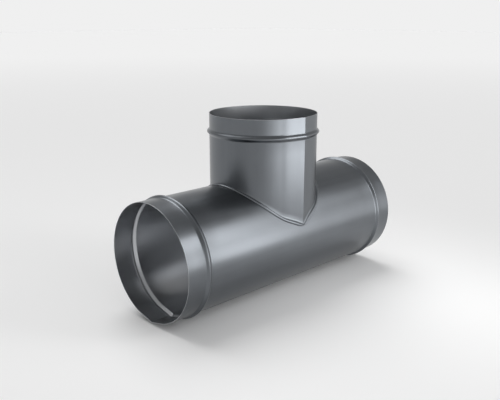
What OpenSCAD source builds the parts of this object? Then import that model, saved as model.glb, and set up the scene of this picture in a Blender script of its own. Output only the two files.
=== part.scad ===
// Round duct tee of rolled sheet steel: a straight run with a branch standing on its middle.
// Both tubes are rolled from flat sheet. Rolling leaves the ends of a sheet flat, so the wall
// has two flats that meet at a slight peak, and the tube is closed by a seam there.
// A bead is rolled near each rim, and the plain collar beyond it slides into the next duct
// as far as the bead. The run lies along X and starts at the origin. The branch points up.

/* [Run] */
// Outside diameter of the run
run_d = 200; // [196:1:315]
// Length of the run from rim to rim
run_l = 514; // [400:1:900]
// Distance from each rim of the run to the middle of its bead
run_collar_l = 39; // [25:1:60]

/* [Branch] */
// Outside diameter of the branch
branch_d = 191; // [100:1:195]
// Height of the branch's rim above the top of the run
branch_rise = 117; // [80:1:300]
// Distance from the rim of the branch to the middle of its bead
branch_collar_l = 32; // [20:1:45]

/* [Sheet] */
// Thickness of the sheet that both tubes are rolled from
sheet_t = 0.7; // [0.5:0.1:1.2]

/* [Beads] */
// Height of a bead above the wall
bead_h = 4; // [2:0.1:6]
// Width of a bead along the tube
bead_w = 13; // [10:0.5:18]

/* [Seams] */
// Turn in degrees between the two flats that meet at the run's seam
run_seam_turn = 26; // [14:1:32]
// Turn in degrees between the two flats that meet at the branch's seam
branch_seam_turn = 24; // [14:1:32]
// How far the peak at a seam stays inside the full round of its tube
seam_inset = 0.2; // [0.1:0.1:0.5]
// Place of the branch's seam in degrees, from the front towards the run's far end
branch_seam_at = 2.5; // [-6:0.5:6]

/* [Saddle] */
// Width of the hemmed flange that joins the branch to the run
flange_w = 6.5; // [4:0.5:12]
// Clearance between the flange and the run under it
flange_gap = 0.1; // [0.05:0.05:0.3]

/* [Hidden] */
$fn = 144;

steel = "#8d9296";
run_r = run_d / 2;
branch_r = branch_d / 2;
rim_z = run_r + branch_rise;
// The hem folds the branch's sheet back on itself, so the flange is two sheets thick
flange_t = 2 * sheet_t;
// Radius of the flange's underside, and of its top
seat_r = run_r + flange_gap;
flange_top_r = seat_r + flange_t;
// How far a cutting shape passes the face that it cuts
pass = 5;
// Steps along half of a bead's profile
bead_steps = 6;
// How far, in steps, the profile's points on a seam's flats lie from those on the round wall,
// so that the edges of the two cross each other cleanly
flat_offset = 0.5;
// Steps along a seam's flat, and round the rest of the wall, in the flange's outline
flat_steps = 5;
round_steps = 60;

// Height of a bead's skin at the distance s from the bead's middle, and the slope there
function on_bead(s) = abs(s) < bead_w / 2;
function bead_rise(s) = on_bead(s) ? bead_h * (1 + cos(360 * s / bead_w)) / 2 : 0;
function bead_slope(s) = on_bead(s) ? -bead_h * PI / bead_w * sin(360 * s / bead_w) : 0;

// Skin of one bead centred at c, as [height above the wall, place along the tube],
// moved inwards by depth square to the skin
function bead_skin(c, depth, offset) = [
    for (i = [-bead_steps - offset : bead_steps + offset])
        let (s = i * bead_w / 2 / bead_steps, k = bead_slope(s), n = sqrt(1 + k * k))
        [bead_rise(s) - depth / n, c + s + depth * k / n]
];

// Skin of a whole tube that is beaded at the places in beads, carried past both rims by over
function tube_skin(l, beads, depth, over, offset = 0) = concat(
    [[-depth, -over]],
    [for (c = beads) each bead_skin(c, depth, offset)],
    [[-depth, l + over]]
);

// Solid bar as thick as a tube of radius r at the given depth under its skin.
// It stands on Z = 0, with the seam's peak towards +X.
module seamed_bar(r, turn, l, beads = [], depth = 0, over = 0) {
    skin = tube_skin(l, beads, depth, over);
    intersection() {
        rotate_extrude()
            polygon(concat([[0, -over]], [for (p = skin) [r + p.x, p.y]], [[0, l + over]]));
        for_both_flats(turn)
            flat_block(r, turn, tube_skin(l, beads, depth, over + pass, flat_offset));
    }
}

// Overlap of a shape turned to one side of the seam and the same shape turned to the other
module for_both_flats(turn) {
    intersection() {
        rotate([0, 0, turn / 2])
            children();
        rotate([0, 0, -turn / 2])
            children();
    }
}

// Block that ends in the given skin at one of the seam's flats, towards +X
module flat_block(r, turn, skin) {
    peak_r = r - seam_inset;
    back = -2 * r;
    rotate([90, 0, 0])
        linear_extrude(4 * r, center = true)
            polygon(concat(
                [[back, skin[0].y]],
                [for (p = skin) [(peak_r + p.x) * cos(turn / 2), p.y]],
                [[back, skin[len(skin) - 1].y]]
            ));
}

// Rolled tube that stands on Z = 0, with its seam towards +X
module seamed_tube(r, turn, l, beads) {
    difference() {
        seamed_bar(r, turn, l, beads);
        seamed_bar(r, turn, l, beads, depth = sheet_t, over = pass);
    }
}

// Outline of a seamed tube from above, as points round it, with the seam towards +X
function outline(r, turn) =
    let (
        peak = [r - seam_inset, 0],
        flat_end = turn / 2 + acos(peak.x * cos(turn / 2) / r),
        corner = r * [cos(flat_end), sin(flat_end)],
        arc = 360 - 2 * flat_end
    )
    concat(
        [for (i = [0 : flat_steps - 1]) peak + (corner - peak) * i / flat_steps],
        [for (i = [0 : round_steps]) let (a = flat_end + arc * i / round_steps) r * [cos(a), sin(a)]],
        [for (i = [flat_steps - 1 : -1 : 1])
            let (p = peak + (corner - peak) * i / flat_steps) [p.x, -p.y]]
    );

function turned(pts, a) =
    [for (p = pts) [p.x * cos(a) - p.y * sin(a), p.x * sin(a) + p.y * cos(a)]];

// A point seen from above, laid out on the run's unrolled skin, and the way back
function unrolled(p) = [p.x, run_r * asin(p.y / run_r) * PI / 180];
function rolled(p) = [p.x, run_r * sin(p.y / run_r * 180 / PI)];

// Outward direction of the edge from a to b of an outline that turns to the left
function outward(a, b) = let (d = (b - a) / norm(b - a)) [d.y, -d.x];

// A closed outline moved outwards by w, with its corners kept sharp
function widened(pts, w) =
    let (n = len(pts))
    [for (i = [0 : n - 1])
        let (
            before = outward(pts[(i + n - 1) % n], pts[i]),
            after = outward(pts[i], pts[(i + 1) % n])
        )
        pts[i] + w * (before + after) / (1 + before * after)];

// Outline of the flange from above. Its width is even along the run's curved skin.
function flange_outline() =
    let (foot = turned(outline(branch_r, branch_seam_turn), branch_seam_at - 90))
    [for (p = widened([for (q = foot) unrolled(q)], flange_w)) rolled(p)];

// Puts a shape that stands on Z = 0 with its seam towards +X in the branch's place
module at_branch() {
    translate([run_l / 2, 0, 0])
        rotate([0, 0, branch_seam_at - 90])
            children();
}

// Solid round bar along the run and past both its rims
module run_bar(r) {
    translate([-pass, 0, 0])
        rotate([0, 90, 0])
            cylinder(r = r, h = run_l + 2 * pass);
}

// The run: a beaded tube with its seam underneath and the branch's hole in its top
module run_tube() {
    color(steel)
        difference() {
            rotate([0, 90, 0])
                seamed_tube(run_r, run_seam_turn, run_l, [run_collar_l, run_l - run_collar_l]);
            at_branch()
                seamed_bar(branch_r, branch_seam_turn, run_r + pass, depth = sheet_t);
        }
}

// The flange as a thick cap on the run, with its inner edge inside the branch's wall
module flange_cap() {
    difference() {
        intersection() {
            run_bar(flange_top_r);
            translate([run_l / 2, 0, 0])
                linear_extrude(flange_top_r + pass)
                    polygon(flange_outline());
        }
        at_branch()
            seamed_bar(branch_r, branch_seam_turn, flange_top_r, depth = sheet_t / 2, over = pass);
    }
}

// The branch: a beaded tube whose foot is turned out into a flange that fits the run
module branch_tube() {
    color(steel)
        difference() {
            union() {
                at_branch()
                    seamed_tube(branch_r, branch_seam_turn, rim_z, [rim_z - branch_collar_l]);
                flange_cap();
            }
            run_bar(seat_r);
        }
}

run_tube();
branch_tube();
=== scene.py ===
"""Dresses a round duct tee: two tubes rolled from sheet steel, a pale studio floor and soft lamps.

Sizes are in metres, in the same frame as the solids. The run lies along X from the origin, with its
seam underneath. The branch points up from the run's middle, with its seam at the front.
"""

import math

import bmesh
import bpy
import numpy as np
from mathutils import Matrix, Vector


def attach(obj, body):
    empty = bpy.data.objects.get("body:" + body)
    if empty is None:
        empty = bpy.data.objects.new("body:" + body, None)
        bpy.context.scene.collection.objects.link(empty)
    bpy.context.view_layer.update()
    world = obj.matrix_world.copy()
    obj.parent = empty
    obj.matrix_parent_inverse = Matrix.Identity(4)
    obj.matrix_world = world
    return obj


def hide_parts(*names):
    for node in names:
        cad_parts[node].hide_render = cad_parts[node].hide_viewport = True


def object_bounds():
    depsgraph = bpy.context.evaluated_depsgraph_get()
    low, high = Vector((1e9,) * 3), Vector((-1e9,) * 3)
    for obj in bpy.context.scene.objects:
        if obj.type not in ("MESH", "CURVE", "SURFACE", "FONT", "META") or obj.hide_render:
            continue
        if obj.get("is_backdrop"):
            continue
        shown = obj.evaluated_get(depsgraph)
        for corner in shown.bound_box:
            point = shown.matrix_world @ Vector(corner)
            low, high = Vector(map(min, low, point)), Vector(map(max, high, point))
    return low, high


bl_info = {
    "name": "Round Duct Tee",
    "version": (1, 0, 0),
    "blender": (4, 5, 0),
    "location": "3D View > Sidebar > Duct Tee",
    "description": "Builds the rolled tubes of a round duct tee and the studio that shows them",
    "category": "Object",
}

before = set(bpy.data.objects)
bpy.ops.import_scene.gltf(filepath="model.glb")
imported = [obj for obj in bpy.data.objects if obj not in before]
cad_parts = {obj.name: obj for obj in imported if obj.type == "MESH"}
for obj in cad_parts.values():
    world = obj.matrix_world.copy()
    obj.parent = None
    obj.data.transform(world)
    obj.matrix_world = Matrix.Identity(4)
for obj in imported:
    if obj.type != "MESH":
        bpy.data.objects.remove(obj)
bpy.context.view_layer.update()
MM = 0.001


# Sizes and colours

def colour(hex_value):
    """An sRGB hex colour as the linear RGBA that the shaders take."""
    out = []
    for i in (1, 3, 5):
        c = int(hex_value[i:i + 2], 16) / 255
        out.append(c / 12.92 if c <= 0.04045 else ((c + 0.055) / 1.055) ** 2.4)
    return (*out, 1.0)


class TeeSizes(bpy.types.PropertyGroup):
    """Sizes of the two tubes. Some of the small ones differ a little from the solids."""

    run_d: bpy.props.FloatProperty(
        name="Run diameter",
        description="Outside diameter of the run",
        default=0.200, subtype="DISTANCE", unit="LENGTH")
    run_l: bpy.props.FloatProperty(
        name="Run length",
        description="Length of the run from rim to rim",
        default=0.514, subtype="DISTANCE", unit="LENGTH")
    near_collar_l: bpy.props.FloatProperty(
        name="Near collar",
        description="Distance from the run's near rim to the middle of its bead",
        default=0.040, subtype="DISTANCE", unit="LENGTH")
    far_collar_l: bpy.props.FloatProperty(
        name="Far collar",
        description="Distance from the run's far rim to the middle of its bead",
        default=0.038, subtype="DISTANCE", unit="LENGTH")
    branch_d: bpy.props.FloatProperty(
        name="Branch diameter",
        description="Outside diameter of the branch",
        default=0.191, subtype="DISTANCE", unit="LENGTH")
    branch_rise: bpy.props.FloatProperty(
        name="Branch rise",
        description="Height of the branch's rim above the top of the run",
        default=0.117, subtype="DISTANCE", unit="LENGTH")
    branch_collar_l: bpy.props.FloatProperty(
        name="Branch collar",
        description="Distance from the branch's rim to the middle of its bead",
        default=0.032, subtype="DISTANCE", unit="LENGTH")
    sheet_t: bpy.props.FloatProperty(
        name="Sheet",
        description="Thickness of the sheet that both tubes are rolled from",
        default=0.0007, precision=5, subtype="DISTANCE", unit="LENGTH")
    bead_h: bpy.props.FloatProperty(
        name="Bead height",
        description="Height of a bead above the wall",
        default=0.0040, precision=5, subtype="DISTANCE", unit="LENGTH")
    bead_w: bpy.props.FloatProperty(
        name="Bead width",
        description="Width of a bead along the tube",
        default=0.013, precision=4, subtype="DISTANCE", unit="LENGTH")
    run_seam_turn: bpy.props.FloatProperty(
        name="Run seam turn",
        description="Turn between the two flats that meet at the run's seam",
        default=math.radians(26), subtype="ANGLE", unit="ROTATION")
    branch_seam_turn: bpy.props.FloatProperty(
        name="Branch seam turn",
        description="Turn between the two flats that meet at the branch's seam",
        default=math.radians(24), subtype="ANGLE", unit="ROTATION")
    branch_seam_at: bpy.props.FloatProperty(
        name="Branch seam place",
        description="Place of the branch's seam, from the front towards +X",
        default=math.radians(2.5), subtype="ANGLE", unit="ROTATION")
    run_seam_peak: bpy.props.FloatProperty(
        name="Run seam peak",
        description="How far the run's seam stands outside the full round",
        default=0.0021, precision=5, subtype="DISTANCE", unit="LENGTH")
    branch_seam_peak: bpy.props.FloatProperty(
        name="Branch seam peak",
        description="How far the branch's seam stands outside the full round",
        default=-0.0002, precision=5, subtype="DISTANCE", unit="LENGTH")
    run_flat_blend: bpy.props.FloatProperty(
        name="Run flat blend",
        description="How softly the flats at the run's seam run into the round",
        default=0.0008, precision=5, subtype="DISTANCE", unit="LENGTH")
    branch_flat_blend: bpy.props.FloatProperty(
        name="Branch flat blend",
        description="How softly the flats at the branch's seam run into the round",
        default=0.0060, precision=5, subtype="DISTANCE", unit="LENGTH")
    flange_w: bpy.props.FloatProperty(
        name="Flange width",
        description="Width of the hemmed flange that joins the branch to the run",
        default=0.0065, precision=4, subtype="DISTANCE", unit="LENGTH")
    flange_gap: bpy.props.FloatProperty(
        name="Flange gap",
        description="Clearance between the flange and the run under it",
        default=0.0001, precision=5, subtype="DISTANCE", unit="LENGTH")
    hem_h: bpy.props.FloatProperty(
        name="Hem height",
        description="Height of the folded hem's crest above the run",
        default=0.0023, precision=5, subtype="DISTANCE", unit="LENGTH")
    foot_bend: bpy.props.FloatProperty(
        name="Foot bend",
        description="Height of the bend between the branch's wall and its flange",
        default=0.0018, precision=5, subtype="DISTANCE", unit="LENGTH")
    flange_corner: bpy.props.FloatProperty(
        name="Flange corner",
        description="How widely the flange's edge is rounded where it passes the seam",
        default=0.0100, precision=5, subtype="DISTANCE", unit="LENGTH")


class TeeFinish(bpy.types.PropertyGroup):
    """Colours of the sheet, and the studio's floor and light."""

    # Zinc outside: the same sheet as inside. It is darker than the inside's copy because that copy
    # is painted lighter, not because handling has dulled it.
    zinc: bpy.props.FloatVectorProperty(
        name="Zinc",
        description="Colour of the galvanised sheet outside, dulled by handling",
        default=colour("#66696d"), size=4, min=0, max=1, subtype="COLOR")
    bright_zinc: bpy.props.FloatVectorProperty(
        name="Bright zinc",
        description="Colour of the brighter clouds in the zinc outside",
        default=colour("#72767a"), size=4, min=0, max=1, subtype="COLOR")
    # Zinc inside: the outside's zinc painted lighter, as painted light in the dim insides of the
    # tubes that the lamps barely reach. It is no fresher than the outside.
    painted_light_inner_zinc: bpy.props.FloatVectorProperty(
        name="Inner zinc",
        description="Colour of the galvanised sheet inside, still fresh",
        default=colour("#b3b5b8"), size=4, min=0, max=1, subtype="COLOR")
    # The inside's clouds: a random tone, on the painted-light copy of the zinc that is painted
    # lighter than outside
    painted_light_inner_clouds: bpy.props.FloatVectorProperty(
        name="Bright inner zinc",
        description="Colour of the brighter clouds in the zinc inside",
        default=colour("#bbbdc0"), size=4, min=0, max=1, subtype="COLOR")
    bare_steel: bpy.props.FloatVectorProperty(
        name="Bare steel",
        description="Colour of the sheet's sheared edges",
        default=colour("#a6a9ac"), size=4, min=0, max=1, subtype="COLOR")
    # Below about 0.28, the renderer's denoiser takes parts of the sheet for mirrors and smears dark
    # dashes over them
    sheen: bpy.props.FloatProperty(
        name="Roughness",
        description="Roughness of the zinc where it shines most",
        default=0.285, min=0, max=1, subtype="FACTOR")
    floor: bpy.props.FloatVectorProperty(
        name="Floor",
        description="Colour of the floor round the tee",
        default=colour("#f2f2f2"), size=4, min=0, max=1, subtype="COLOR")
    horizon: bpy.props.FloatProperty(
        name="Horizon",
        description="Strength of the light from the horizon all round",
        default=0.87, min=0)
    sky: bpy.props.FloatProperty(
        name="Sky",
        description="Strength of the light from overhead",
        default=0.40, min=0)
    key_light: bpy.props.FloatProperty(
        name="Key light",
        description="Strength of the broad light from behind, which casts the shadow",
        default=1.62, min=0)
    front_light: bpy.props.FloatProperty(
        name="Front light",
        description="Radiance that each softbox at the front gives its share of",
        default=0.86, min=0)


# The rolled tube

ROUND_STEPS = 480              # points round a tube
BEAD_STEPS = 24                # steps across a bead
PLAIN_STEP = 0.030             # longest stretch between two points on a plain wall
EDGE_R = 0.00018               # rounding of the sheet's cut edge
EDGE_STEP = 6 * EDGE_R         # from a cut edge to the next point on the plain wall
SEAM_CROWDING = 1.3            # above 1, the points round a tube draw together towards its seam
ROUND_GIVES = 0.15             # how far the round gives way near the seam, metres a radian squared
LEAST_COSINE = 0.5             # keeps a flat's distance small on the far side of the tube
SAME_PLACE = 1e-7              # points nearer to each other than this are one
SHARP_TURN = math.radians(20)  # a wider turn between two faces shows as a sharp edge
# Lays a tube that stands on Z = 0 along X, with its seam underneath
LAID_DOWN = Matrix(((0, 0, 1, 0), (0, 1, 0, 0), (-1, 0, 0, 0), (0, 0, 0, 1)))


def bead_skin(middle, depth, sizes):
    """One bead's skin, as (height above the wall, place along the tube), moved inwards by depth."""
    points = []
    for i in range(BEAD_STEPS + 1):
        s = (i / BEAD_STEPS - 0.5) * sizes.bead_w
        turn = 2 * math.pi * s / sizes.bead_w
        rise = sizes.bead_h * (1 + math.cos(turn)) / 2
        slope = -sizes.bead_h * math.pi / sizes.bead_w * math.sin(turn)
        n = math.hypot(1, slope)
        points.append((rise - depth / n, middle + s + depth * slope / n))
    return points


def plain_skin(start, end, depth):
    """Points between two places on a plain wall, both ends left out."""
    count = max(1, math.ceil((end - start) / PLAIN_STEP))
    return [(-depth, start + (end - start) * i / count) for i in range(1, count)]


def wall_skin(start, end, beads, depth, sizes):
    """One skin of a beaded wall from start to end, just short of the cut edges."""
    first, last = start + EDGE_STEP, end - EDGE_STEP
    points = [(-depth, start + EDGE_R), (-depth, first)]
    at = first
    for middle in beads:
        bead = bead_skin(middle, depth, sizes)
        points += plain_skin(at, bead[0][1], depth) + bead
        at = bead[-1][1]
    return points + plain_skin(at, last, depth) + [(-depth, last), (-depth, end - EDGE_R)]


def cut_edge(place, outward, sheet):
    """The rounded cut edge of the sheet, from the outer skin to the inner one."""
    corner = EDGE_R * (1 - math.sqrt(0.5))
    return [
        (-corner, place - outward * corner),
        (-EDGE_R, place),
        (-sheet + EDGE_R, place),
        (-sheet + corner, place - outward * corner),
    ]


def marked_outline(*parts):
    """Joins the parts of a closed outline, each given as its finish and its points.

    Returns the points and, for the two finishes that are marked, which points have them. A cut edge
    takes in the nearest point of the skin on both its sides.
    """
    points = [point for _, part in parts for point in part]
    finishes = np.array([finish for finish, part in parts for _ in part])
    cut = finishes == "Cut edge"
    return points, {
        "Inner skin": finishes == "Inner skin",
        "Cut edge": cut | np.roll(cut, 1) | np.roll(cut, -1),
    }


def node(tree, kind, inputs=None, **settings):
    """Adds a node, sets its properties, and links or sets its inputs by name or number."""
    new = tree.nodes.new(kind)
    for key, value in settings.items():
        setattr(new, key, value)
    for key, value in (inputs or {}).items():
        if isinstance(value, bpy.types.NodeSocket):
            tree.links.new(value, new.inputs[key])
        else:
            new.inputs[key].default_value = value
    return new


def rolled_tube_tree():
    """Sweeps a closed outline round a rolled section: a circle with two flats that meet on +X."""
    tree = bpy.data.node_groups.new("Rolled tube", "GeometryNodeTree")
    sockets = tree.interface
    sockets.new_socket("Geometry", in_out="OUTPUT", socket_type="NodeSocketGeometry")
    sockets.new_socket("Geometry", in_out="INPUT", socket_type="NodeSocketGeometry")
    numbers = {
        "Radius": ("Float", 0.1),
        "Seam turn": ("Float", 0.45),
        "Seam peak": ("Float", 0.0),
        "Flat blend": ("Float", 0.001),
        "Points round": ("Int", ROUND_STEPS),
    }
    for name, (kind, default) in numbers.items():
        socket = sockets.new_socket(name, in_out="INPUT", socket_type="NodeSocket" + kind)
        socket.default_value = default
    for name in ("Sheet", "Inner skin", "Cut edge"):
        sockets.new_socket(name, in_out="INPUT", socket_type="NodeSocketMaterial")
    given = node(tree, "NodeGroupInput").outputs

    # The section, one Math node a row: its name, its operation, and its inputs as numbers or names
    found = {name: given[name] for name in numbers}
    found["index"] = node(tree, "GeometryNodeInputIndex").outputs[0]
    for name, operation, *inputs in (
        # Each point's turn from the seam, and the same with its side
        ("share", "DIVIDE", "index", "Points round"),
        ("nearest seam", "ROUND", "share"),
        ("signed share", "SUBTRACT", "share", "nearest seam"),
        ("side", "SIGN", "signed share"),
        ("apart", "ABSOLUTE", "signed share"),
        ("even spread", "MULTIPLY", "apart", 2.0),
        ("spread", "POWER", "even spread", SEAM_CROWDING),
        ("turn", "MULTIPLY", "spread", math.pi),
        ("signed turn", "MULTIPLY", "turn", "side"),
        # The flat's distance from the axis there
        ("half turn", "MULTIPLY", "Seam turn", 0.5),
        ("peak", "ADD", "Radius", "Seam peak"),
        ("half turn's cosine", "COSINE", "half turn"),
        ("flat's middle", "MULTIPLY", "peak", "half turn's cosine"),
        ("off middle", "SUBTRACT", "turn", "half turn"),
        ("off middle's cosine", "COSINE", "off middle"),
        ("guarded cosine", "MAXIMUM", "off middle's cosine", LEAST_COSINE),
        ("flat", "DIVIDE", "flat's middle", "guarded cosine"),
        # The round's distance. It gives way towards the seam, so the flat runs on to the peak.
        ("to middle", "SUBTRACT", "half turn", "turn"),
        ("past middle", "MAXIMUM", "to middle", 0.0),
        ("slope", "MULTIPLY", "past middle", ROUND_GIVES),
        ("way given", "MULTIPLY", "past middle", "slope"),
        ("round", "ADD", "Radius", "way given"),
        # The nearer of the two is the wall
        ("wall", "SMOOTH_MIN", "round", "flat", "Flat blend"),
        ("turn's cosine", "COSINE", "signed turn"),
        ("turn's sine", "SINE", "signed turn"),
        ("x", "MULTIPLY", "wall", "turn's cosine"),
        ("y", "MULTIPLY", "wall", "turn's sine"),
    ):
        values = [found[value] if isinstance(value, str) else value for value in inputs]
        maths = node(tree, "ShaderNodeMath", dict(enumerate(values)), operation=operation)
        found[name] = maths.outputs[0]
    ring = node(tree, "GeometryNodeCurvePrimitiveCircle", {
        "Resolution": given["Points round"], "Radius": 1.0})
    place = node(tree, "ShaderNodeCombineXYZ", {0: found["x"], 1: found["y"]})
    section = node(tree, "GeometryNodeSetPosition", {
        "Geometry": ring.outputs[0], "Position": place.outputs[0]})

    outline = node(tree, "GeometryNodeMeshToCurve", {0: given["Geometry"]})
    swept = node(tree, "GeometryNodeCurveToMesh", {0: section.outputs[0], 1: outline.outputs[0]})
    smooth = node(tree, "GeometryNodeSetShadeSmooth", {0: swept.outputs[0]})
    real = node(tree, "GeometryNodeRealizeInstances", {0: smooth.outputs[0]})
    dressed = node(tree, "GeometryNodeSetMaterial", {
        0: real.outputs[0], "Material": given["Sheet"]})
    # The inner skin's material is the zinc's copy painted lighter, as painted light inside the tube
    for mark in ("Inner skin", "Cut edge"):
        marked = node(tree, "GeometryNodeInputNamedAttribute", {"Name": mark}, data_type="BOOLEAN")
        dressed = node(tree, "GeometryNodeSetMaterial", {
            0: dressed.outputs[0],
            "Selection": marked.outputs["Attribute"],
            "Material": given[mark]})
    node(tree, "NodeGroupOutput", {0: dressed.outputs[0]})
    return tree


def rolled_tube(name, outline, marks, values):
    """Sweeps the outline with the rolled tube's nodes. Returns the plain mesh, standing on Z = 0.

    marks gives, for each finish that is marked, which of the outline's points have it, and values
    gives the nodes' inputs by name.
    """
    count = len(outline)
    line = bpy.data.meshes.new(name + "_outline")
    line.from_pydata([(out, -along, 0) for out, along in outline],
                     [(i, (i + 1) % count) for i in range(count)], [])
    for mark, covered in marks.items():
        line.attributes.new(mark, "BOOLEAN", "POINT").data.foreach_set("value", covered)
    carrier = bpy.data.objects.new(name + "_carrier", line)
    bpy.context.scene.collection.objects.link(carrier)
    sweep = carrier.modifiers.new("Rolled tube", "NODES")
    sweep.node_group = bpy.data.node_groups.get("Rolled tube") or rolled_tube_tree()
    sockets = {socket.name: socket.identifier for socket in sweep.node_group.interface.items_tree
               if socket.in_out == "INPUT"}
    for key, value in values.items():
        sweep[sockets[key]] = value
    graph = bpy.context.evaluated_depsgraph_get()
    mesh = bpy.data.meshes.new_from_object(carrier.evaluated_get(graph))
    bpy.data.objects.remove(carrier)
    mesh.name = name
    return mesh


def finish_piece(name, mesh, cad_node):
    """Turns the mesh's faces outwards, links it and lets it stand for its solid."""
    shaped = bmesh.new()
    shaped.from_mesh(mesh)
    bmesh.ops.remove_doubles(shaped, verts=shaped.verts, dist=SAME_PLACE)
    bmesh.ops.recalc_face_normals(shaped, faces=shaped.faces)
    shaped.to_mesh(mesh)
    shaped.free()
    mesh.shade_smooth()
    mesh.set_sharp_from_angle(angle=SHARP_TURN)
    piece = bpy.data.objects.new(name, mesh)
    bpy.context.scene.collection.objects.link(piece)
    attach(piece, "root")
    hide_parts(cad_node)


# The run, and the branch's hole in it

CUTTER_PASS = 0.01             # how far the hole's cutter passes the top of the run


def section_points(radius, turn, peak, depth):
    """The rolled section at a depth under the skin, as points round +Z with the seam on +X."""
    flat = (radius + peak) * math.cos(turn / 2)
    points = []
    for i in range(ROUND_STEPS):
        a = 2 * math.pi * i / ROUND_STEPS
        off = min(a, 2 * math.pi - a)
        reach = (flat - depth) / max(math.cos(off - turn / 2), LEAST_COSINE)
        if off > turn / 2:
            reach = min(radius - depth, reach)
        points.append((reach * math.cos(a), reach * math.sin(a)))
    return points


def branch_place(sizes):
    """Puts a shape that stands on Z = 0 with its seam on +X in the branch's place."""
    turn = Matrix.Rotation(sizes.branch_seam_at - math.pi / 2, 4, "Z")
    return Matrix.Translation((sizes.run_l / 2, 0, 0)) @ turn


def hole_cutter(sizes):
    """A bar as thick as the inside of the branch, from the run's axis to above its top."""
    mesh = bpy.data.meshes.new("hole_cutter")
    mesh.materials.append(sheared_edge())
    section = section_points(
        sizes.branch_d / 2, sizes.branch_seam_turn, sizes.branch_seam_peak, sizes.sheet_t)
    shaped = bmesh.new()
    base = shaped.faces.new([shaped.verts.new((x, y, 0)) for x, y in section])
    top = bmesh.ops.extrude_face_region(shaped, geom=[base])["geom"]
    bmesh.ops.translate(shaped, vec=(0, 0, sizes.run_d / 2 + CUTTER_PASS),
                        verts=[v for v in top if isinstance(v, bmesh.types.BMVert)])
    bmesh.ops.recalc_face_normals(shaped, faces=shaped.faces)
    shaped.to_mesh(mesh)
    shaped.free()
    mesh.transform(branch_place(sizes))
    return mesh


def cut_hole(mesh, cutter):
    """Cuts the branch's hole into the run's wall."""
    wall = bpy.data.objects.new("wall", mesh)
    bar = bpy.data.objects.new("bar", cutter)
    for part in (wall, bar):
        bpy.context.scene.collection.objects.link(part)
    cut = wall.modifiers.new("Hole", "BOOLEAN")
    cut.operation, cut.solver, cut.object = "DIFFERENCE", "EXACT", bar
    cut.material_mode = "TRANSFER"
    graph = bpy.context.evaluated_depsgraph_get()
    result = bpy.data.meshes.new_from_object(wall.evaluated_get(graph))
    for part in (wall, bar):
        bpy.data.objects.remove(part)
    return result


class DUCT_OT_run_tube(bpy.types.Operator):
    """Rolls the run, beads both its ends and cuts the branch's hole"""

    bl_idname = "duct.run_tube"
    bl_label = "Run Tube"

    def execute(self, context):
        sizes = context.scene.tee_sizes
        beads = [sizes.near_collar_l, sizes.run_l - sizes.far_collar_l]
        outline, marks = marked_outline(
            ("Sheet", wall_skin(0, sizes.run_l, beads, 0, sizes)),
            ("Cut edge", cut_edge(sizes.run_l, 1, sizes.sheet_t)),
            ("Inner skin", wall_skin(0, sizes.run_l, beads, sizes.sheet_t, sizes)[::-1]),
            ("Cut edge", cut_edge(0, -1, sizes.sheet_t)[::-1]))
        mesh = rolled_tube("run_tube_sheet", outline, marks, {
            "Radius": sizes.run_d / 2,
            "Seam turn": sizes.run_seam_turn,
            "Seam peak": sizes.run_seam_peak,
            "Flat blend": sizes.run_flat_blend,
            "Points round": ROUND_STEPS,
            **tube_finishes("the run", 0)})
        mesh.transform(LAID_DOWN)
        finish_piece("run_tube_sheet", cut_hole(mesh, hole_cutter(sizes)), "run_tube")
        return {"FINISHED"}


# The branch

WALL_START = 0.012             # from the run's top up to where the branch's straight wall begins
TRANSITION_ROWS = 8            # steps from the straight wall down to the saddle, on each skin
UNDER_ROWS = 3                 # rows under the flange, from the inner skin out to the hem
HEM_ROWS = 16                  # rows round the folded hem's crest
HEM_END = math.radians(152)    # how far round its crest the hem goes before it meets the bend
BEND_ROWS = 8                  # rows round the bend from the hem up to the wall
BEND_CORNER = 0.2              # how far the bend stays off a sharp corner: 0 would be sharp
FOOT_ROWS = 2 * (TRANSITION_ROWS - 1) + 1 + UNDER_ROWS + HEM_ROWS + BEND_ROWS


def softened(points, width):
    """A closed line of points in a plane, averaged along itself over about the given width."""
    steps = np.linalg.norm(np.roll(points, -1, 0) - points, axis=1)
    place = np.concatenate([[0], np.cumsum(steps)[:-1]])
    apart = np.abs(place[:, None] - place[None])
    apart = np.minimum(apart, steps.sum() - apart)
    weight = np.exp(-0.5 * (apart / width) ** 2) * ((steps + np.roll(steps, 1)) / 2)
    return weight @ points / weight.sum(1)[:, None]


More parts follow.
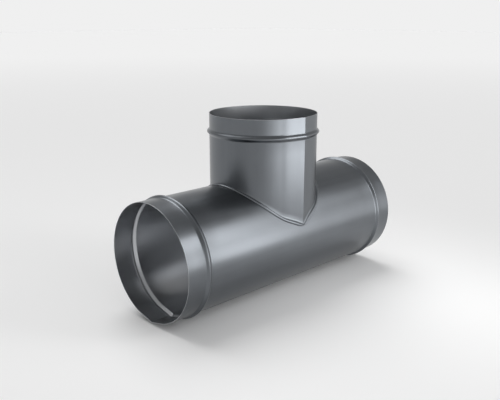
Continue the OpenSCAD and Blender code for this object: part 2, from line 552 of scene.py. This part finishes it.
def foot_rows(wall, inner, start, sizes):
    """The FOOT_ROWS rows of the branch's foot, from the inner skin round to the outer skin.

    wall and inner are the outer and inner skin's points in plan, and start is the height at which
    the straight wall begins.
    """
    run_r = sizes.run_d / 2
    seat_r = run_r + sizes.flange_gap

    def on_run(points, lift):
        """Points in plan, set on the run's skin at a lift above the flange's seat."""
        z = np.sqrt((seat_r + lift) ** 2 - points[:, 1] ** 2)
        return np.column_stack([points, z])

    # The foot's outline laid out on the run's unrolled skin, and the way out from it
    flat = np.column_stack([wall[:, 0], run_r * np.arcsin(wall[:, 1] / run_r)])
    ahead = np.roll(flat, -1, 0) - flat
    ahead /= np.linalg.norm(ahead, axis=1)[:, None]
    after = np.column_stack([ahead[:, 1], -ahead[:, 0]])
    before = np.roll(after, 1, 0)
    out = (before + after) / (1 + (before * after).sum(1))[:, None]
    if (out * (wall - wall.mean(0))).sum() < 0:
        out = -out
    edge = softened(flat + out * sizes.flange_w, sizes.flange_corner)

    def flange(reach, lift):
        """A row at a reach out from the wall along the run, and a lift above the flange's seat."""
        laid = flat + (edge - flat) * reach / sizes.flange_w
        turn = laid[:, 1] / run_r
        r = seat_r + lift
        return np.column_stack([laid[:, 0], r * np.sin(turn), r * np.cos(turn)])

    def between(row, first, last):
        """Copies of a row in even steps from one height to another, both ends left out."""
        for i in range(1, TRANSITION_ROWS):
            copy = row.copy()
            copy[:, 2] = first + (last - first) * i / TRANSITION_ROWS
            yield copy

    # Down the inner skin, out under the flange, round the hem, up the bend and up the outer skin
    bottom = on_run(inner, 0)
    rows = [*between(bottom, start, bottom[:, 2]), bottom]
    under = sizes.flange_w - sizes.sheet_t / 2
    for i in range(UNDER_ROWS):
        rows.append(flange(under * i / (UNDER_ROWS - 1), 0))
    half = (sizes.flange_w - sizes.foot_bend / 2) / 2
    crest = sizes.flange_w - half
    for i in range(1, HEM_ROWS + 1):
        a = HEM_END * i / HEM_ROWS
        rows.append(flange(crest + half * math.cos(a), sizes.hem_h * math.sin(a)))
    low = rows[-1]
    corner = flange(sizes.foot_bend * BEND_CORNER, sizes.sheet_t * BEND_CORNER)
    high = on_run(wall, sizes.sheet_t * BEND_CORNER) + [0, 0, sizes.foot_bend]
    for i in range(1, BEND_ROWS + 1):
        t = i / BEND_ROWS
        rows.append((1 - t) ** 2 * low + 2 * t * (1 - t) * corner + t * t * high)
    return [*rows, *between(high, high[:, 2], start)]


class DUCT_OT_branch_tube(bpy.types.Operator):
    """Rolls the branch, beads its rim's end and turns its foot out over the run"""

    bl_idname = "duct.branch_tube"
    bl_label = "Branch Tube"

    def execute(self, context):
        sizes = context.scene.tee_sizes
        rim = sizes.run_d / 2 + sizes.branch_rise
        start = sizes.run_d / 2 + WALL_START
        beads = [rim - sizes.branch_collar_l]
        inner = wall_skin(start, rim, beads, sizes.sheet_t, sizes)
        # The foot's rows wait under the wall until they are laid out on the run
        foot = [(-sizes.sheet_t * (1 - i / FOOT_ROWS), start - MM) for i in range(FOOT_ROWS)]
        outline, marks = marked_outline(
            ("Sheet", wall_skin(start, rim, beads, 0, sizes)),
            ("Cut edge", cut_edge(rim, 1, sizes.sheet_t)),
            ("Inner skin", inner[::-1] + foot[:TRANSITION_ROWS]),
            ("Sheet", foot[TRANSITION_ROWS:]))
        mesh = rolled_tube("branch_tube_sheet", outline, marks, {
            "Radius": sizes.branch_d / 2,
            "Seam turn": sizes.branch_seam_turn,
            "Seam peak": sizes.branch_seam_peak,
            "Flat blend": sizes.branch_flat_blend,
            "Points round": ROUND_STEPS,
            **tube_finishes("the branch", 2)})
        mesh.transform(branch_place(sizes))
        points = np.empty(len(mesh.vertices) * 3)
        mesh.vertices.foreach_get("co", points)
        points = points.reshape(ROUND_STEPS, len(outline), 3)
        wall, inside = points[:, 0, :2], points[:, -FOOT_ROWS - 1, :2]
        points[:, -FOOT_ROWS:] = np.stack(foot_rows(wall, inside, start, sizes), 1)
        mesh.vertices.foreach_set("co", points.ravel())
        finish_piece("branch_tube_sheet", mesh, "branch_tube")
        return {"FINISHED"}


# Finishes

# Patterns in the zinc: width across the tube, length along it, and detail. The mill's real grain is
# too fine to show, so it is drawn 8 mm wide.
CLOUDS = (45 * MM, 45 * MM, 3.0)
GRAIN = (8 * MM, 300 * MM, 1.0)
BANDS = (22 * MM, 600 * MM, 0.0)
FINER_SHARE = 0.55             # strength of each finer layer of a pattern beside the one before it
CLOUD_SHARE = 0.6              # the clouds' share of the mottle, where the rest is grain
MOTTLE_RANGE = (0.35, 0.65)    # lowest and highest usual value of the mottle
DULLER = 0.04                  # how much rougher the zinc is at the mottle's highest value
BAND_DEPTH = 0.12 * MM         # depth of the faint bands that the plate rolls leave along the tube
BITE = 3 * MM                  # how often the shear's bite changes along a cut edge
EDGE_SHEEN = (0.29, 0.38)      # lowest and highest roughness of a cut edge
# A Mix node's colours go by number, because its other sockets have the same names
MIX_FIRST, MIX_SECOND, MIXED = 6, 7, 2


def new_material(name):
    """The material of that name, and its empty node tree if the material is new."""
    material = bpy.data.materials.get(name)
    if material:
        return material, None
    material = bpy.data.materials.new(name)
    material.use_nodes = True
    material.node_tree.nodes.clear()
    return material, material.node_tree


def galvanised_steel(name, along, zinc, bright_zinc):
    """Galvanised sheet steel, skin-passed: a satin zinc skin with soft, broad streaks of the lamps.

    Faint clouds of brighter zinc and a fine grain along the tube break up the streaks. along is the
    axis that the tube was rolled about, 0 or 2.
    """
    material, tree = new_material(name)
    if tree is None:
        return material
    sheen = bpy.context.scene.tee_finish.sheen
    where = node(tree, "ShaderNodeTexCoord").outputs["Object"]
    patterns = []
    for across, length, detail in (CLOUDS, GRAIN, BANDS):
        scale = [1 / across] * 3
        scale[along] = 1 / length
        drawn_out = node(tree, "ShaderNodeMapping", {"Vector": where, "Scale": scale})
        noise = node(tree, "ShaderNodeTexNoise", {
            "Vector": drawn_out.outputs[0], "Scale": 1.0, "Detail": detail,
            "Roughness": FINER_SHARE})
        patterns.append(noise.outputs["Fac"])
    clouds, grain, bands = patterns
    cloudy = node(tree, "ShaderNodeMath", {0: clouds, 1: CLOUD_SHARE}, operation="MULTIPLY")
    mottle = node(tree, "ShaderNodeMath", {
        0: grain, 1: 1 - CLOUD_SHARE, 2: cloudy.outputs[0]}, operation="MULTIPLY_ADD").outputs[0]
    tone = node(tree, "ShaderNodeMix", {
        0: mottle, MIX_FIRST: zinc, MIX_SECOND: bright_zinc}, data_type="RGBA")
    roughness = node(tree, "ShaderNodeMapRange", {
        "Value": mottle, "From Min": MOTTLE_RANGE[0], "From Max": MOTTLE_RANGE[1],
        "To Min": sheen, "To Max": sheen + DULLER})
    waves = node(tree, "ShaderNodeBump", {
        "Height": bands, "Strength": 1.0, "Distance": BAND_DEPTH})
    shader = node(tree, "ShaderNodeBsdfPrincipled", {
        "Base Color": tone.outputs[MIXED], "Metallic": 1.0,
        "Roughness": roughness.outputs["Result"], "Normal": waves.outputs[0]})
    node(tree, "ShaderNodeOutputMaterial", {"Surface": shader.outputs[0]})
    return material


def sheared_edge():
    """Sheared steel: a thin bare line, brighter than the zinc outside, with a fine burr."""
    material, tree = new_material("Sheared steel edge")
    if tree is None:
        return material
    where = node(tree, "ShaderNodeTexCoord").outputs["Object"]
    bite = node(tree, "ShaderNodeTexNoise", {"Vector": where, "Scale": 1 / BITE, "Detail": 2.0})
    roughness = node(tree, "ShaderNodeMapRange", {
        "Value": bite.outputs["Fac"], "To Min": EDGE_SHEEN[0], "To Max": EDGE_SHEEN[1]})
    shader = node(tree, "ShaderNodeBsdfPrincipled", {
        "Base Color": bpy.context.scene.tee_finish.bare_steel, "Metallic": 1.0,
        "Roughness": roughness.outputs["Result"]})
    node(tree, "ShaderNodeOutputMaterial", {"Surface": shader.outputs[0]})
    return material


def tube_finishes(tube, along):
    """The materials of a tube's outer skin, inner skin and cut edges, by the nodes' input names."""
    finish = bpy.context.scene.tee_finish
    return {
        "Sheet": galvanised_steel(
            "Galvanised steel of " + tube, along, finish.zinc, finish.bright_zinc),
        # The inner skin takes a copy of the zinc painted lighter: painted light inside the tube
        "Inner skin": galvanised_steel(
            "Galvanised steel inside " + tube, along, finish.painted_light_inner_zinc, finish.painted_light_inner_clouds),
        "Cut edge": sheared_edge(),
    }


# The studio

FLOOR_REACH = 20               # half of the floor's side, far enough to end at the horizon
FLOOR_FADE = (1.5, 8.0)        # the floor pales between these two distances from the tee
FAR_FLOOR = colour("#fefefe")
SKY_RISE = (0.08, 0.42)        # sines of the heights between which the horizon's light gives way
WHITE = colour("#ffffff")
KEY_BEARING, KEY_HEIGHT = math.radians(80), math.radians(60)   # high up behind the tee
KEY_WIDTH = math.radians(48)   # how broad the key light stands in the sky, for a soft shadow
# Softboxes that stand in an arc at the front: bearing in degrees, width, height of the middle,
# height that it is aimed at, and share of the front light's radiance
SOFTBOXES = (
    ("Strip light", 296, 0.28, 0.13, 0.13, 0.86),
    ("Strip light top", 296, 0.28, 0.58, 0.05, 1.10),
    ("Fill light", 266, 0.72, 0.13, 0.13, 0.42),
    ("Left light", 237, 0.24, 0.13, 0.13, 0.12),
    ("Right light", 317, 0.48, 0.13, 0.13, 0.17),
    ("Right light top", 317, 0.48, 0.58, 0.05, 0.24),
)
SOFTBOX_HEIGHT = 0.46
SOFTBOX_DISTANCE = 0.9
GRID_SPREAD = math.radians(70)         # the grids on the softboxes keep their light off the floor
CAMERA_PLACE = Vector((-0.5848, -0.8302, 0.3803))
CAMERA_TURN = math.radians(-44.269)    # off the front: minus is towards the run's near end
CAMERA_TILT = math.radians(15.343)     # how far the camera looks down
SENSOR_WIDTH, FOCAL_LENGTH = 36, 48.25     # in millimetres


def aimed(thing, place, target):
    """Links a lamp or camera at a place and points it at a target."""
    ob = bpy.data.objects.new(thing.name, thing)
    ob.location = place
    ob.rotation_mode = "QUATERNION"
    ob.rotation_quaternion = (Vector(target) - Vector(place)).to_track_quat("-Z", "Y")
    bpy.context.scene.collection.objects.link(ob)
    return ob


def direction(bearing, height):
    """The way to something at a bearing from +X and a height over the horizon, both angles."""
    level = math.cos(height)
    return Vector((math.cos(bearing) * level, math.sin(bearing) * level, math.sin(height)))


def pale_floor(middle, z):
    """A wide sheet of matt white paper, paler towards the horizon so that no line shows there."""
    mesh = bpy.data.meshes.new("floor")
    r = FLOOR_REACH
    mesh.from_pydata([(-r, -r, z), (r, -r, z), (r, r, z), (-r, r, z)], [], [(0, 1, 2, 3)])
    floor = bpy.data.objects.new("floor", mesh)
    bpy.context.scene.collection.objects.link(floor)
    paper, tree = new_material("Matt white paper")
    if tree:
        where = node(tree, "ShaderNodeTexCoord").outputs["Object"]
        away = node(tree, "ShaderNodeVectorMath", {
            0: where, 1: (*middle, z)}, operation="DISTANCE")
        far = node(tree, "ShaderNodeMapRange", {
            "Value": away.outputs["Value"],
            "From Min": FLOOR_FADE[0], "From Max": FLOOR_FADE[1]}, interpolation_type="SMOOTHSTEP")
        tone = node(tree, "ShaderNodeMix", {
            0: far.outputs["Result"],
            MIX_FIRST: bpy.context.scene.tee_finish.floor, MIX_SECOND: FAR_FLOOR}, data_type="RGBA")
        shader = node(tree, "ShaderNodeBsdfDiffuse", {"Color": tone.outputs[MIXED]})
        node(tree, "ShaderNodeOutputMaterial", {"Surface": shader.outputs[0]})
    mesh.materials.append(paper)
    floor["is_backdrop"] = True


def studio_world():
    """Even light from all round, stronger at the horizon than overhead."""
    finish = bpy.context.scene.tee_finish
    world = bpy.data.worlds.new("Studio")
    world.use_nodes = True
    tree = world.node_tree
    tree.nodes.clear()
    where = node(tree, "ShaderNodeTexCoord").outputs["Generated"]
    height = node(tree, "ShaderNodeSeparateXYZ", {0: where}).outputs["Z"]
    strength = node(tree, "ShaderNodeMapRange", {
        "Value": height, "From Min": SKY_RISE[0], "From Max": SKY_RISE[1],
        "To Min": finish.horizon, "To Max": finish.sky}, interpolation_type="SMOOTHSTEP")
    light = node(tree, "ShaderNodeBackground", {
        "Color": WHITE, "Strength": strength.outputs["Result"]})
    node(tree, "ShaderNodeOutputWorld", {"Surface": light.outputs[0]})
    bpy.context.scene.world = world


class DUCT_OT_studio(bpy.types.Operator):
    """Sets up the pale floor, the lamps and the camera at the photograph's angle"""

    bl_idname = "duct.studio"
    bl_label = "Studio"

    def execute(self, context):
        scene = context.scene
        scene.view_settings.view_transform = "Standard"
        finish = scene.tee_finish
        middle = (scene.tee_sizes.run_l / 2, 0)
        pale_floor(middle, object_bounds()[0].z)
        studio_world()

        key = bpy.data.lights.new("Key light", "SUN")
        key.energy, key.angle = finish.key_light, KEY_WIDTH
        aimed(key, direction(KEY_BEARING, KEY_HEIGHT), (0, 0, 0))

        for name, bearing, width, height, target, share in SOFTBOXES:
            box = bpy.data.lights.new(name, "AREA")
            box.shape, box.size, box.size_y = "RECTANGLE", width, SOFTBOX_HEIGHT
            box.spread = GRID_SPREAD
            # An area lamp's power is its radiance times its area times pi
            box.energy = math.pi * width * SOFTBOX_HEIGHT * finish.front_light * share
            around = math.radians(bearing)
            place = (middle[0] + SOFTBOX_DISTANCE * math.cos(around),
                     SOFTBOX_DISTANCE * math.sin(around), height)
            aimed(box, place, (*middle, target)).visible_camera = False

        lens = bpy.data.cameras.new("Camera")
        lens.sensor_fit, lens.sensor_width, lens.lens = "HORIZONTAL", SENSOR_WIDTH, FOCAL_LENGTH
        back = direction(CAMERA_TURN - math.pi / 2, CAMERA_TILT)
        scene.camera = aimed(lens, CAMERA_PLACE, CAMERA_PLACE - back)
        return {"FINISHED"}


class DUCT_PT_panel(bpy.types.Panel):
    """Lists the tee's pieces, sizes and colours"""

    bl_idname = "DUCT_PT_panel"
    bl_label = "Round Duct Tee"
    bl_space_type = "VIEW_3D"
    bl_region_type = "UI"
    bl_category = "Duct Tee"

    def draw(self, context):
        for operator in OPERATORS:
            self.layout.operator(operator.bl_idname)
        for group in (context.scene.tee_sizes, context.scene.tee_finish):
            for key in group.bl_rna.properties.keys():
                if key not in {"rna_type", "name"}:
                    self.layout.prop(group, key)


OPERATORS = (DUCT_OT_run_tube, DUCT_OT_branch_tube, DUCT_OT_studio)
CLASSES = (TeeSizes, TeeFinish, *OPERATORS, DUCT_PT_panel)


def register():
    for c in CLASSES:
        bpy.utils.register_class(c)
    bpy.types.Scene.tee_sizes = bpy.props.PointerProperty(type=TeeSizes)
    bpy.types.Scene.tee_finish = bpy.props.PointerProperty(type=TeeFinish)


def unregister():
    del bpy.types.Scene.tee_finish
    del bpy.types.Scene.tee_sizes
    for c in reversed(CLASSES):
        bpy.utils.unregister_class(c)


def main():
    register()
    bpy.ops.duct.run_tube()
    bpy.ops.duct.branch_tube()
    bpy.ops.duct.studio()


if __name__ == "__main__":
    main()
